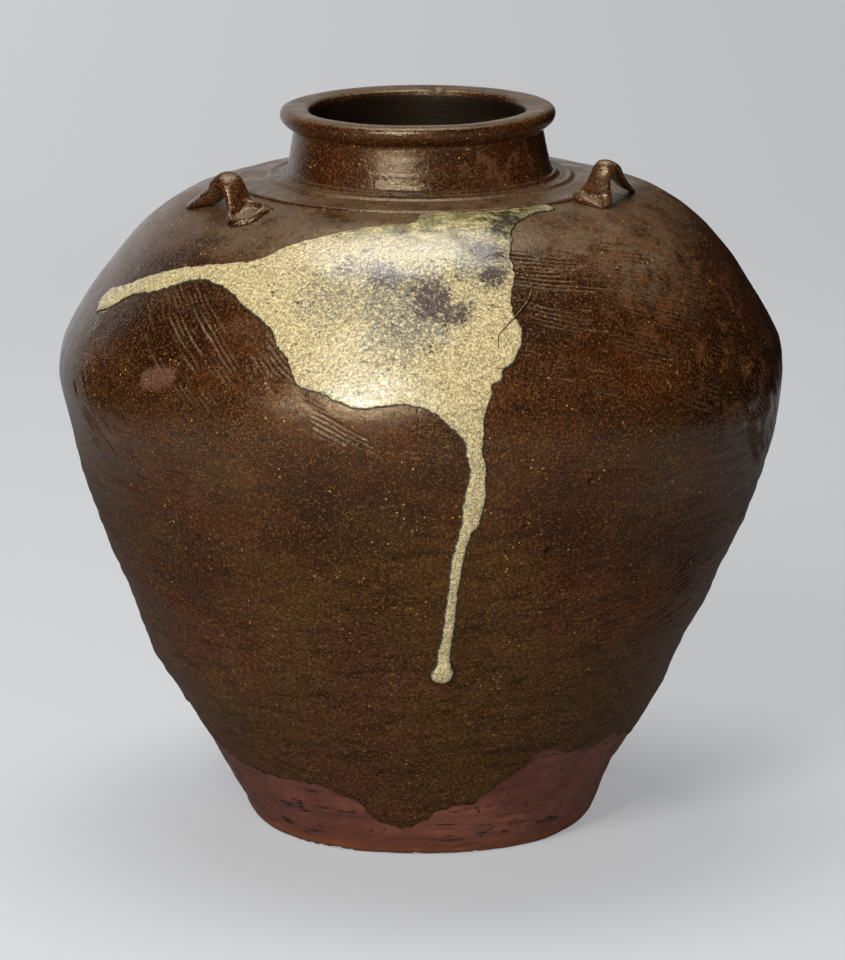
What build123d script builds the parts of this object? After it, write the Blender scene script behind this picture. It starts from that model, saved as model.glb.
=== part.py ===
"""A martaban jar: a stoneware storage jar with a short collar, a rolled lip and three cord lugs.

The jar is built as a potter builds a large one: a base with the foot of the wall, three wall
sections luted edge to edge on bevelled seams, a collar with a thin skirt on the shoulder, a
rolled lip, and three pulled lugs pressed on round the shoulder. Brown iron glaze coats it down
to a wavy hem, and the bare foot below stands back by the glaze's thickness. A pale ash glaze
was poured over the front, where it ran sideways along the shoulder and down the belly.

Frame: millimetres, +Z up, origin on the jar's axis at the foot, the poured side towards -Y.
"""

import os
from math import atan2, cos, degrees, hypot, radians, sin, tan

from build123d import *

# Body, as the glazed outside measures
foot_radius = 82.3
foot_bevel = 1.5
foot_setback = 0.9
belly_radius = 185.1
belly_height = 243.0
shoulder_rise = 89.5
wall_thickness = 9.3
base_thickness = 11.0

# Body outline. Below the belly a short arc, a long arc and a straight run to the foot, and above
# it an arc, a straight slope and two arcs to the skirt. Joints are shares of the height and of
# the spread from one named size to the next.
belly_joint_share = (0.983, 0.996)
belly_turn_radius = 33.0
shoulder_lean_share = 0.711
shoulder_slope_share = 0.3622
shoulder_joint_share = (0.886, 0.358)

# Hollow of the body: corners of its straight runs, as shares of the same kind
inner_wall_shares = [(0.70, 0.830), (0.90, 0.963)]
inner_shoulder_shares = [(0.20, 0.955), (0.62, 0.640), (0.83, 0.330)]

# Luted seams of the wall
lower_seam_share = 0.41
lower_seam_spread = 0.562
belly_seam_rise = 4.0
seam_bevel_angle = 25.0

# Mouth, and the collar round it: how far each edge stands out from the mouth, and how high above
# the shoulder
mouth_radius = 54.8
collar_height = 28.3
skirt_spread = 40.2
skirt_edge_height = 1.1
waist_spread = 25.2
waist_rise = 3.5
ledge_spread = 15.4
ledge_rise = 5.1
ledge_depth = 1.7
collar_foot_wall = 13.0
collar_foot_rise = 8.1
collar_top_wall = 10.5
collar_hollow_radius = 62.0
seat_overhang = 2.7
seat_rise = 1.7

# Rolled lip: how far each edge stands out from the mouth, and how high above the collar
lip_height = 9.2
lip_under_wall = 11.7
lip_under_rise = 0.6
lip_nose_wall = 14.5
lip_nose_rise = 5.0
lip_band_wall = 9.6
lip_band_fall = 0.5
lip_edge_bevel = 1.6

# Lugs, round the shoulder: angle from the front in degrees, share of the way from the skirt to
# the belly, turn of the strap in degrees, and the side that the far foot lies on
lug_shares = {
    "lug_left": (-62.0, 0.22, 12.0, -1),
    "lug_right": (69.0, 0.10, 8.0, 1),
    "lug_back": (184.0, 0.16, 10.0, -1),
}
lug_span = 42.0
lug_rise = 17.0
lug_width = 10.0
lug_crest_rounding = 7.0
lug_eye_rounding = 4.0
lug_pad_radius = 9.6
lug_pad_slope = 0.30
lug_pad_thickness = 2.6
lug_pad_share = -0.60
lug_print_radius = 16.0
lug_print_depth = 1.2
lug_print_share = -0.66
lug_embed = 6.0

# Strap of a lug: its outer and its inner line from the side, in shares of the span and the rise,
# and its edge from above, in shares of the span and the width
lug_outer_shares = [(-0.55, -0.35), (-0.37, 1.00), (0.00, 0.98), (0.64, -0.35)]
lug_inner_shares = [(-0.37, -0.35), (-0.25, 0.64), (-0.03, 0.62), (0.42, -0.35)]
lug_edge_shares = [(-0.70, 1.00), (-0.46, 0.82), (-0.26, 0.55), (0.22, 0.50), (0.70, 0.24)]

# Ash glaze
pour_thickness = 1.3

# Hem of the brown glaze: angle from the front in degrees, and share of the belly's height
hem_shares = [
    (-72, 0.270), (-55, 0.163), (-35, 0.157), (-22, 0.141), (-13, 0.092), (-4, 0.072),
    (5, 0.120), (14, 0.125), (27, 0.197), (35, 0.237), (42, 0.215), (57, 0.224), (80, 0.180),
    (105, 0.130), (130, 0.170), (155, 0.115), (180, 0.140), (205, 0.205), (230, 0.150),
    (258, 0.215),
]

# Outline of the pour: angle from the front in degrees, and share of the shoulder's height. It's
# cut along the view that the pour is seen in, pour_view_angle above the level.
pour_view_angle = 30.0
pour_bead_radius = 6.4
pour_bead_rise = 2.4
pour_bead_shares = (4.9, 0.336)
pour_top_shares = [
    (-70.5, 0.804), (-73.6, 0.844), (-69.6, 0.869), (-59.7, 0.900), (-49.2, 0.922),
    (-39.3, 0.937), (-32.1, 0.956), (-22.8, 0.976), (-8.9, 0.989), (-1.6, 0.994),
    (3.0, 1.002), (12.0, 1.003), (24.0, 1.003), (35.5, 1.002),
]
pour_right_shares = [
    (35.5, 1.002), (27.3, 0.992), (21.4, 0.979), (18.4, 0.956), (18.1, 0.929), (16.2, 0.901),
    (16.3, 0.879), (17.1, 0.850), (15.8, 0.828), (13.1, 0.807), (11.1, 0.783), (10.0, 0.756),
    (9.3, 0.702), (9.8, 0.649), (9.3, 0.598), (7.7, 0.561), (6.8, 0.501), (6.5, 0.427),
    (6.3, 0.367), (7.2, 0.335), (6.4, 0.316), (4.7, 0.313),
]
pour_left_shares = [
    (4.7, 0.313), (2.8, 0.324), (2.6, 0.348), (3.3, 0.371), (3.6, 0.413), (4.4, 0.497),
    (5.3, 0.566), (6.1, 0.630), (6.9, 0.668), (6.1, 0.708), (4.0, 0.738), (0.7, 0.758),
    (-4.0, 0.762), (-9.3, 0.757), (-13.4, 0.767), (-19.5, 0.784), (-21.7, 0.809), (-24.9, 0.836),
    (-27.5, 0.857), (-34.3, 0.880), (-42.4, 0.902), (-48.9, 0.899), (-57.9, 0.871),
    (-64.9, 0.851), (-68.3, 0.836), (-67.9, 0.816), (-68.5, 0.801), (-70.5, 0.804),
]

# One overrun for every cut
overrun = 10.0

# Heights and radii that follow from the sizes above
shoulder_top_height = belly_height + shoulder_rise
lip_seat_height = shoulder_top_height + collar_height
jar_height = lip_seat_height + lip_height
skirt_radius = mouth_radius + skirt_spread
collar_seat_radius = mouth_radius + seat_overhang
collar_seat_height = shoulder_top_height + seat_rise
shoulder_spread = belly_radius - skirt_radius
shoulder_lean = degrees(atan2(shoulder_spread * shoulder_lean_share, shoulder_rise))
shoulder_slope_length = hypot(shoulder_spread, shoulder_rise) * shoulder_slope_share


def between(low, high, share):
    """The value at a share of the way from low to high."""
    return low + (high - low) * share


def turned(point, angle):
    """A point of the outline, turned to an angle from the front."""
    return Vector(point.X * sin(radians(angle)), -point.X * cos(radians(angle)), point.Y)


def outward(slope):
    """The normal of an outline's slope that points away from the clay."""
    normal = Vector(slope.Y, -slope.X)
    return normal if normal.X + normal.Y > 0 else -normal


def arc_chain(points, slope):
    """Arcs through points, each tangent to the one before, and the first to a slope."""
    arcs = []
    for start, end in zip(points, points[1:]):
        arcs.append(TangentArc(start, end, tangent=slope, mode=Mode.PRIVATE))
        slope = arcs[-1] % 1
    return arcs


def grown(lines, growth):
    """A chain of arcs and straight runs moved outwards by a growth."""
    moved = []
    for line in lines:
        start = line @ 0 + outward(line % 0) * growth
        end = line @ 1 + outward(line % 1) * growth
        if line.geom_type == GeomType.LINE:
            moved.append(Line(start, end, mode=Mode.PRIVATE))
        else:
            moved.append(TangentArc(start, end, tangent=line % 0, mode=Mode.PRIVATE))
    return moved


# Body outline: from the belly down to the foot, and from the belly up to the skirt
foot_point = Vector(foot_radius, 0)
belly_point = Vector(belly_radius, belly_height)
skirt_point = Vector(skirt_radius, shoulder_top_height)


def wall_point(share, spread):
    """A point between the foot and the belly, by its shares of the height and the spread."""
    return Vector(between(foot_radius, belly_radius, spread), belly_height * share)


def shoulder_point(share, spread):
    """A point between the belly and the skirt, by its shares of the height and the spread."""
    return Vector(
        between(skirt_radius, belly_radius, spread),
        between(belly_height, shoulder_top_height, share),
    )


seam_point = wall_point(lower_seam_share, lower_seam_spread)
wall_arcs = arc_chain([belly_point, wall_point(*belly_joint_share), seam_point], Vector(0, -1))
foot_line = Line(seam_point, foot_point, mode=Mode.PRIVATE)
belly_turn = JernArc(
    start=belly_point,
    tangent=Vector(0, 1),
    radius=belly_turn_radius,
    arc_size=shoulder_lean,
    mode=Mode.PRIVATE,
)
slope_line = Line(
    belly_turn @ 1,
    belly_turn @ 1 + (belly_turn % 1) * shoulder_slope_length,
    mode=Mode.PRIVATE,
)
shoulder_arcs = [
    belly_turn,
    slope_line,
    *arc_chain(
        [slope_line @ 1, shoulder_point(*shoulder_joint_share), skirt_point], slope_line % 1
    ),
]


def body_face():
    """Half the body's silhouette, closed at the axis and at the collar's seat."""
    with BuildSketch() as sketch:
        with BuildLine():
            add([*wall_arcs, *shoulder_arcs])
            Polyline(
                skirt_point,
                (collar_seat_radius, collar_seat_height),
                (0, collar_seat_height),
                (0, 0),
                foot_point,
                seam_point,
            )
        make_face()
    return sketch.sketch


def foot_face():
    """Half the silhouette of the unglazed clay from the foot to the lower seam."""
    setback = Vector(foot_setback, 0)
    with BuildSketch() as sketch:
        with BuildLine():
            Polyline(
                foot_point - setback,
                seam_point - setback,
                (0, seam_point.Y),
                (0, 0),
                close=True,
            )
        make_face()
    return sketch.sketch


def cavity_face():
    """Half the hollow of the body, from the base up through the shoulder's hole."""
    inset = Vector(wall_thickness, 0)
    with BuildSketch() as sketch:
        with BuildLine():
            Polyline(
                (0, base_thickness),
                foot_line @ (1 - base_thickness / seam_point.Y) - inset,
                seam_point - inset,
                *[wall_point(*shares) - inset for shares in inner_wall_shares],
                belly_point - inset,
                *[shoulder_point(*shares) - inset for shares in inner_shoulder_shares],
                (collar_seat_radius, collar_seat_height - wall_thickness),
                (collar_seat_radius, collar_seat_height + overrun),
                (0, collar_seat_height + overrun),
                close=True,
            )
        make_face()
    return sketch.sketch


def skin_face(thickness):
    """A layer over the body's outline."""
    high_wall, high_shoulder = grown(wall_arcs, thickness), grown(shoulder_arcs, thickness)
    seam_end = high_wall[-1] @ 1
    with BuildSketch() as sketch:
        with BuildLine():
            add([*wall_arcs, *shoulder_arcs, *high_wall, *high_shoulder])
            Line(seam_point, seam_end)
            Line(skirt_point, high_shoulder[-1] @ 1)
        make_face()
    return sketch.sketch


def over_mouth(wall, base_height, rise):
    """A point of the collar's or lip's section, by its wall's thickness and its rise."""
    return Vector(mouth_radius + wall, base_height + rise)


def collar_face():
    """Half the section of the collar and its skirt."""
    ledge = over_mouth(ledge_spread, shoulder_top_height, ledge_rise)
    foot = over_mouth(collar_foot_wall, shoulder_top_height, collar_foot_rise)
    top = over_mouth(collar_top_wall, lip_seat_height, 0)
    with BuildSketch() as sketch:
        with BuildLine():
            Polyline(
                (mouth_radius, lip_seat_height),
                (mouth_radius, collar_seat_height),
                (collar_seat_radius, collar_seat_height),
                skirt_point,
                skirt_point + Vector(0, skirt_edge_height),
                over_mouth(waist_spread, shoulder_top_height, waist_rise),
                ledge,
                ledge + Vector(0, ledge_depth),
                foot,
            )
            RadiusArc(foot, top, collar_hollow_radius)
            Line(top, (mouth_radius, lip_seat_height))
        make_face()
    return sketch.sketch


def lip_face():
    """Half the section of the rolled lip."""
    under = over_mouth(lip_under_wall, lip_seat_height, lip_under_rise)
    nose = over_mouth(lip_nose_wall, lip_seat_height, lip_nose_rise)
    band = over_mouth(lip_band_wall, jar_height, -lip_band_fall)
    with BuildSketch() as sketch:
        with BuildLine():
            Polyline(
                under,
                over_mouth(collar_top_wall, lip_seat_height, 0),
                (mouth_radius, lip_seat_height),
                (mouth_radius, jar_height - lip_edge_bevel),
                (mouth_radius + lip_edge_bevel, jar_height),
                band,
            )
            ThreePointArc(band, nose, under)
        make_face()
    return sketch.sketch


def seam(height, radius):
    """A bevelled seam's heights at the axis and past the belly, from where it meets the outside."""
    slope = tan(radians(seam_bevel_angle))
    return height - radius * slope, height + (belly_radius + overrun - radius) * slope


def band_face(low, high):
    """Half a band between two lines, each given by its heights at the axis and past the belly."""
    reach = belly_radius + overrun
    with BuildSketch() as sketch:
        with BuildLine():
            Polyline((0, low[0]), (reach, low[1]), (reach, high[1]), (0, high[0]), close=True)
        make_face()
    return sketch.sketch


lower_seam = seam(seam_point.Y, seam_point.X)
belly_seam = seam(belly_height + belly_seam_rise, belly_radius)

# Everything under the hem of the brown glaze, which stays bare
with BuildPart() as under_hem:
    hems = [
        Spline(
            [turned(Vector(radius, belly_height * share), angle) for angle, share in hem_shares],
            periodic=True,
            mode=Mode.PRIVATE,
        )
        for radius in (foot_radius / 2, belly_radius)
    ]
    hem_face = Face.make_surface_from_curves(*hems)
    extrude(hem_face, amount=belly_height, dir=(0, 0, -1))
    Cylinder(foot_radius, base_thickness, align=(Align.CENTER, Align.CENTER, Align.MIN))

with BuildPart() as bare_foot:
    with BuildSketch(Plane.XZ):
        add(foot_face())
        add(cavity_face(), mode=Mode.SUBTRACT)
    revolve(axis=Axis.Z)
    chamfer(bare_foot.edges().group_by(Axis.Z)[0], foot_bevel)
    add(under_hem.part, mode=Mode.INTERSECT)

with BuildPart() as lower_wall:
    with BuildSketch(Plane.XZ):
        add(body_face())
        add(cavity_face(), mode=Mode.SUBTRACT)
        add(band_face((0, 0), lower_seam), mode=Mode.INTERSECT)
    revolve(axis=Axis.Z)
    add(under_hem.part, mode=Mode.SUBTRACT)

with BuildPart() as belly_wall:
    with BuildSketch(Plane.XZ):
        add(body_face())
        add(cavity_face(), mode=Mode.SUBTRACT)
        add(band_face(lower_seam, belly_seam), mode=Mode.INTERSECT)
    revolve(axis=Axis.Z)

with BuildPart() as shoulder:
    with BuildSketch(Plane.XZ):
        add(body_face())
        add(cavity_face(), mode=Mode.SUBTRACT)
        add(band_face(belly_seam, (jar_height, jar_height)), mode=Mode.INTERSECT)
    revolve(axis=Axis.Z)

with BuildPart() as neck_collar:
    with BuildSketch(Plane.XZ):
        add(collar_face())
    revolve(axis=Axis.Z)

with BuildPart() as rolled_lip:
    with BuildSketch(Plane.XZ):
        add(lip_face())
    revolve(axis=Axis.Z)


# The clay body and collar as one solid form, which the lugs are trimmed to
with BuildPart() as clay_form:
    with BuildSketch(Plane.XZ):
        add(body_face())
        add(collar_face())
    revolve(axis=Axis.Z)


# The run from the skirt's edge to the mouth, past the shoulder's own arcs
skirt_line = Line(
    skirt_point,
    over_mouth(0, shoulder_top_height, ledge_rise),
    mode=Mode.PRIVATE,
)


def place_on(lines, passed):
    """The first point along a run of lines that passes a test, with its outward normal."""
    line = next(line for line in lines if passed(line @ 1))
    near, far = 0.0, 1.0
    for _ in range(40):
        middle = between(near, far, 0.5)
        if passed(line @ middle):
            far = middle
        else:
            near = middle
    return line @ far, outward(line % far)


def place_at(angle, height):
    """The place on the clay at an angle from the front and a height, with its outward normal."""
    if height > belly_height:
        found = place_on([*shoulder_arcs, skirt_line], lambda point: point.Y >= height)
    else:
        found = place_on([*wall_arcs, foot_line], lambda point: point.Y <= height)
    return [turned(vector, angle) for vector in found]


def lug_frame(angle, share, turn, side):
    """A lug's plane on the shoulder: x along the strap to its far foot, z out of the clay."""
    radius = between(skirt_radius, belly_radius, share)
    point, normal = place_on(shoulder_arcs, lambda point: point.X <= radius)
    out, along = turned(Vector(1, 0), angle), turned(Vector(side, 0), angle + 90)
    return Plane(
        origin=turned(point, angle),
        x_dir=along * cos(radians(turn)) + out * sin(radians(turn)),
        z_dir=turned(normal, angle),
    )


def strap_points(shares, side):
    """Points of a lug's strap in its own plane, from shares of its span and another size."""
    return [(lug_span * along, side * share) for along, share in shares]


lugs = {}
for name, place in lug_shares.items():
    frame = lug_frame(*place)
    print_height = lug_pad_thickness - lug_print_depth + lug_print_radius
    side_plane = Plane(origin=frame.origin, x_dir=frame.x_dir, z_dir=-frame.y_dir)
    with BuildPart() as strap:
        with BuildSketch(side_plane):
            with BuildLine():
                outer = FilletPolyline(
                    *strap_points(lug_outer_shares, lug_rise), radius=lug_crest_rounding
                )
                inner = FilletPolyline(
                    *strap_points(lug_inner_shares, lug_rise), radius=lug_eye_rounding
                )
                Line(outer @ 0, inner @ 0)
                Line(outer @ 1, inner @ 1)
            make_face()
        extrude(amount=lug_span, both=True)
        with BuildSketch(frame.offset(-lug_span)):
            with BuildLine():
                near = Polyline(*strap_points(lug_edge_shares, -lug_width))
                far = Polyline(*strap_points(lug_edge_shares, lug_width))
                Line(near @ 0, far @ 0)
                Line(near @ 1, far @ 1)
            make_face()
        extrude(amount=2 * lug_span, mode=Mode.INTERSECT)
    with BuildPart() as lug:
        with Locations(frame.offset(-lug_embed)):
            with Locations((lug_span * lug_pad_share, 0)):
                Cone(
                    lug_pad_radius + lug_embed * lug_pad_slope,
                    lug_pad_radius - lug_pad_thickness * lug_pad_slope,
                    lug_embed + lug_pad_thickness,
                    align=(Align.CENTER, Align.CENTER, Align.MIN),
                )
        with Locations(side_plane):
            with Locations((lug_span * lug_print_share, print_height)):
                Cylinder(lug_print_radius, lug_span, mode=Mode.SUBTRACT)
        add(strap.part)
        add(clay_form.part, mode=Mode.SUBTRACT)
    lugs[name] = lug.part


# The plane that the pour's outline is cut on, and the bead that ends its drip
pour_tilt = radians(pour_view_angle)
pour_plane = Plane(
    origin=(0, 0, 0), x_dir=(1, 0, 0), z_dir=(0, -cos(pour_tilt), sin(pour_tilt))
)
pour_runs = [
    [pour_plane.to_local_coords(place_at(angle, shoulder_top_height * share)[0]) for angle, share in shares]
    for shares in (pour_top_shares, pour_right_shares, pour_left_shares)
]
pour_depth = min(point.Z for run in pour_runs for point in run) - overrun
bead_angle, bead_share = pour_bead_shares
bead_point, bead_normal = place_at(bead_angle, shoulder_top_height * bead_share)
bead_ball_radius = (pour_bead_radius**2 + pour_bead_rise**2) / (2 * pour_bead_rise)
bead_sink = pour_bead_rise - bead_ball_radius

with BuildPart() as ash_glaze_pour:
    with BuildSketch(Plane.XZ):
        add(skin_face(pour_thickness))
    revolve(axis=Axis.Z)
    with BuildSketch(pour_plane.offset(pour_depth)):
        with BuildLine():
            for run in pour_runs:
                Spline([Vector(point.X, point.Y) for point in run])
        make_face()
    extrude(amount=belly_radius + jar_height, mode=Mode.INTERSECT)
    with Locations(bead_point + bead_normal * bead_sink):
        Sphere(bead_ball_radius)
    add(clay_form.part, mode=Mode.SUBTRACT)


pieces = {
    "bare_foot": bare_foot.part,
    "lower_wall": lower_wall.part,
    "belly_wall": belly_wall.part,
    "shoulder": shoulder.part,
    "neck_collar": neck_collar.part,
    "rolled_lip": rolled_lip.part,
    **lugs,
    "ash_glaze_pour": ash_glaze_pour.part,
}

os.makedirs("parts", exist_ok=True)
for name, piece in pieces.items():
    piece.label = name
    export_step(piece, f"parts/{name}.step")
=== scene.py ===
import math

import bmesh
import bpy
import numpy as np
from mathutils import Matrix, Vector
from mathutils.kdtree import KDTree


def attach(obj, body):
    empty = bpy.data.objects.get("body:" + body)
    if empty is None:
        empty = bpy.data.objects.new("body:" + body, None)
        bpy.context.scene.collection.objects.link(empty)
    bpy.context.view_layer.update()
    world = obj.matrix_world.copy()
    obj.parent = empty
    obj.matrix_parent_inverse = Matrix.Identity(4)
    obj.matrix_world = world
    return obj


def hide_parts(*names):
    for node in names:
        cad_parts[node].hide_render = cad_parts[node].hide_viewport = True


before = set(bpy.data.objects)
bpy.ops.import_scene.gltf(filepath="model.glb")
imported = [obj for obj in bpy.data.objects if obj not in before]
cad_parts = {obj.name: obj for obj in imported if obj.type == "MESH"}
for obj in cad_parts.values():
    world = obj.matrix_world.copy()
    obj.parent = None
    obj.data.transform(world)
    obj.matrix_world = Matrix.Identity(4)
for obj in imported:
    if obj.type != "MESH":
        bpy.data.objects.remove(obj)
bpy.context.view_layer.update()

# Everything below is in millimetres until a mesh is written
METRE = 0.001

# Outside of the glazed body from the foot to the skirt of the collar: radius and height
BODY_OUTLINE = [
    (86.6, 0), (89.0, 4), (92.2, 10), (97.0, 20), (101.9, 30), (113.0, 50), (124.7, 70),
    (140.2, 100), (153.7, 130), (166.3, 160), (176.4, 190), (182.4, 215), (185.6, 240),
    (183.8, 252), (179.0, 262), (167.6, 280), (152.3, 300), (143.2, 310), (130.5, 320),
    (109.7, 330), (93.0, 333.0),
]

# How far the body stands to the left of its axis, by height
BODY_LEAN = [
    (0, 0.0), (10, -0.8), (20, 0.4), (50, 1.0), (70, 0.8), (80, 1.7), (90, 2.6), (100, 2.9),
    (110, 2.0), (120, 1.0), (150, 0.0), (180, -0.9), (200, -1.4), (240, 0.0), (260, -0.3),
    (280, -0.8), (290, -1.6), (300, -1.6), (320, -1.5), (330, -1.0), (334, 0.2), (340, 1.0),
    (358, 1.4), (366, 1.7), (372, 1.7),
]

# Hem of the brown glaze: angle from the front and height
HEM = [
    (-100, 46), (-84, 60), (-72.7, 66), (-67.2, 43.8), (-55.3, 39.5), (-44, 37.2), (-34.8, 38.3),
    (-27.7, 37.3), (-21.9, 32.8), (-17.3, 29.0), (-14.0, 20.6), (-9.8, 17.6), (-5.2, 15.6),
    (0.6, 19.8), (6.0, 26.6), (11.0, 28.6), (14.8, 28.3), (17.4, 33.4), (22.0, 39.6), (27.5, 47),
    (31.5, 55.2), (34.7, 57.7), (39.8, 52.9), (48.1, 51.3), (54.1, 52.6), (58, 55), (66, 52),
    (80, 44), (105, 32), (130, 41), (155, 28), (180, 34), (205, 49), (230, 37), (247, 44),
]

# Comb strokes on the body: angle and height of the patch's middle, half its length and half its
# width, the strokes' tilt in degrees, their spacing and depth, and a seed
COMBED = [
    (-46, 281, 30, 22, -36, 2.7, 0.42, 1), (-36, 262, 26, 20, -38, 2.5, 0.40, 2),
    (-24, 268, 22, 12, -40, 2.5, 0.34, 3), (-14, 245, 26, 9, -24, 2.3, 0.60, 4),
    (-60, 236, 30, 26, -42, 2.8, 0.34, 5), (-33, 233, 22, 14, -30, 2.6, 0.30, 6),
    (2, 292, 26, 16, -28, 2.6, 0.22, 7), (24, 311, 34, 12, -14, 2.4, 0.42, 8),
    (24, 292, 30, 10, -18, 2.5, 0.46, 9), (41, 314, 30, 14, -22, 2.6, 0.40, 10),
    (44, 290, 34, 12, -26, 2.6, 0.40, 11), (56, 300, 34, 18, -32, 2.6, 0.42, 12),
    (40, 272, 34, 12, -20, 2.6, 0.40, 13), (60, 268, 32, 18, -30, 2.6, 0.42, 14),
    (29, 262, 26, 10, -16, 2.6, 0.34, 15), (48, 248, 34, 12, -22, 2.7, 0.36, 16),
    (70, 232, 34, 30, -44, 2.8, 0.36, 17), (14, 226, 60, 8, -6, 2.8, 0.26, 18),
    (-35, 205, 60, 14, -8, 3.0, 0.26, 19), (-48, 140, 40, 18, -34, 3.0, 0.40, 20),
    (-30, 120, 36, 12, -24, 3.0, 0.34, 21), (46, 134, 44, 22, 16, 3.2, 0.34, 22),
    (26, 150, 40, 12, 6, 3.0, 0.28, 23), (150, 280, 60, 24, -24, 2.6, 0.38, 24),
    (210, 262, 60, 24, 20, 2.6, 0.38, 25), (105, 270, 50, 24, -26, 2.6, 0.38, 26),
    (250, 240, 50, 26, -22, 2.8, 0.34, 27), (190, 200, 70, 16, -8, 3.0, 0.28, 28),
    (120, 160, 50, 24, 18, 3.0, 0.32, 29), (230, 150, 50, 24, -16, 3.0, 0.32, 30),
]

# A hair crack beside the pour: angle and height
CRACK = [
    (11.6, 315.6), (13.4, 317.6), (15.4, 318.1), (17.4, 316.6), (19.2, 313.6), (20.6, 309.5),
    (20.7, 305.1), (19.2, 299.0), (16.5, 293.0), (14.4, 288.6), (12.9, 284.9), (12.5, 277.6),
]

# Burst bubbles in the glaze: angle, height and radius of the ring. Then how high the ring stands,
# how wide it is, and the depth and the width of the pit inside it
PITS = [(-4.6, 176.6, 2.6), (16.2, 191.6, 2.4), (20.6, 178.2, 3.0), (26.6, 213.5, 2.6)]
RING_HEIGHT, RING_WIDTH, PIT_DEPTH, PIT_WIDTH = 0.8, 0.9, 1.5, 1.5

# Outline of the ash pour, from its left arm over the top, down the right and up again on the left:
# angle from the front and height
POUR_TOP = [
    (-72.0, 274.0), (-74.6, 280.5), (-73.4, 285.6), (-69.5, 289.3), (-60.0, 299.4),
    (-53.7, 304.3), (-45.7, 308.8), (-39.4, 311.6), (-34.8, 314.3), (-32.3, 318.2),
    (-28.4, 321.7), (-22.9, 324.9), (-15.0, 328.5), (-8.9, 329.6), (-2.4, 330.4), (-0.6, 332.2),
    (4.0, 333.2), (10.9, 333.6), (22.9, 333.8), (34.0, 333.9), (42.0, 333.7),
]
POUR_RIGHT = [
    (41.2, 331.9), (33.0, 331.2), (27.3, 330.1), (22.6, 327.5), (20.2, 322.6), (18.6, 318.4),
    (18.3, 310.5), (17.5, 305.9), (16.3, 300.1), (16.1, 294.8), (16.9, 289.8), (17.1, 283.1),
    (16.2, 277.2), (14.7, 271.9), (13.1, 269.0), (12.5, 264.8), (11.3, 263.1), (10.9, 258.9),
    (10.1, 253.3), (9.5, 241.8), (9.4, 233.9), (9.8, 225.7), (9.9, 215.9), (9.7, 207.6),
    (9.3, 199.2), (8.8, 193.4), (7.8, 189.3), (7.2, 179.1), (6.6, 165.2), (6.5, 154.7),
    (6.4, 140.5), (6.2, 125.9), (6.4, 117.7), (7.2, 112.1), (6.7, 107.5),
]
POUR_LEFT = [
    (4.7, 105.8), (2.9, 108.1), (2.5, 113.3), (3.2, 117.9), (3.5, 126.1), (3.7, 136.9),
    (4.1, 149.5), (4.5, 165.4), (4.8, 180.9), (5.5, 191.3), (5.7, 201.4), (6.1, 209.7),
    (6.8, 217.9), (7.0, 223.7), (6.4, 231.1), (5.9, 239.1), (4.5, 243.1), (3.1, 248.1),
    (0.7, 252.5), (-1.7, 254.3), (-5.3, 253.7), (-9.4, 252.0), (-12.7, 254.8), (-15.8, 258.3),
    (-19.9, 261.7), (-21.3, 267.4), (-22.9, 273.5), (-25.4, 278.8), (-26.9, 284.4),
    (-30.8, 289.3), (-34.4, 293.1), (-38.7, 298.4), (-42.5, 300.2), (-46.4, 300.7),
    (-51.8, 296.4), (-58.1, 290.1), (-61.9, 287.8), (-65.1, 283.6), (-67.8, 278.6),
]

# The bead that ends the pour: angle, height, radius and how far it stands out
POUR_BEAD = (4.9, 111.8, 6.6, 1.7)

# How far the glaze bands reach in, how far the bare clay lies under the glaze, wall and base
BODY_SKIN = 2.0
GLAZE_EDGE = 1.0
WALL = 9.3
BASE = 11.0

# Lumps in layers: height, size and seed. Of the thrown body, the collar and lip, and the lugs
BODY_LUMPS = [(0.9, 62, 1), (0.45, 27, 2), (0.12, 9, 3)]
NECK_LUMPS = [(0.35, 38, 41), (0.12, 12, 42), (0.05, 3, 43)]
LUG_LUMPS = [(0.35, 7, 71), (0.15, 2.2, 72)]

# How the glaze's hem wobbles, in the same kind of layers, and the drum that it is measured on
HEM_WOBBLE = [(0.9, 3.5, 21), (0.5, 1.6, 22)]
HEM_DRUM = 100

# The rougher throwing marks of the lower body fade out between these heights
ROUGH_UP_TO, SMOOTH_FROM = 170, 235

# Throwing marks: how far they are drawn out round the jar, how much they wander up and down, and
# the height all over, the height added low down, the size and the seed of each layer
MARK_STRETCH = [0.16, 0.16, 1]
MARK_WANDER = 3
MARKS = [(0.04, 0.26, 4.2, 4), (0.02, 0.16, 2.1, 5)]

# Comb strokes: depth next to the table's, sideways wander with its length and seed, then shortest
# length, added length and shift as shares of the patch's, and how far they fade at ends and sides
COMB_DEPTH = 2.1
COMB_WANDER = [(2.2, 26, 0), (0.5, 9, 50)]
COMB_SHORTEST, COMB_LONGER, COMB_SHIFT = 0.45, 0.5, 0.45
COMB_END, COMB_SIDE = 7, 5

# Radii of the drums on which the pour and the hair crack are laid out flat
POUR_DRUM = 150
CRACK_DRUM = 140

# Whole numbers that stir the random lattice
STIR_X, STIR_Y, STIR_Z = 374761393, 668265263, 2147483647
STIR_SEED, STIR_AGAIN = 1274126177, 2246822519
WORD, HALF_WORD = 0xFFFFFFFF, 0xFFFF


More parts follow.
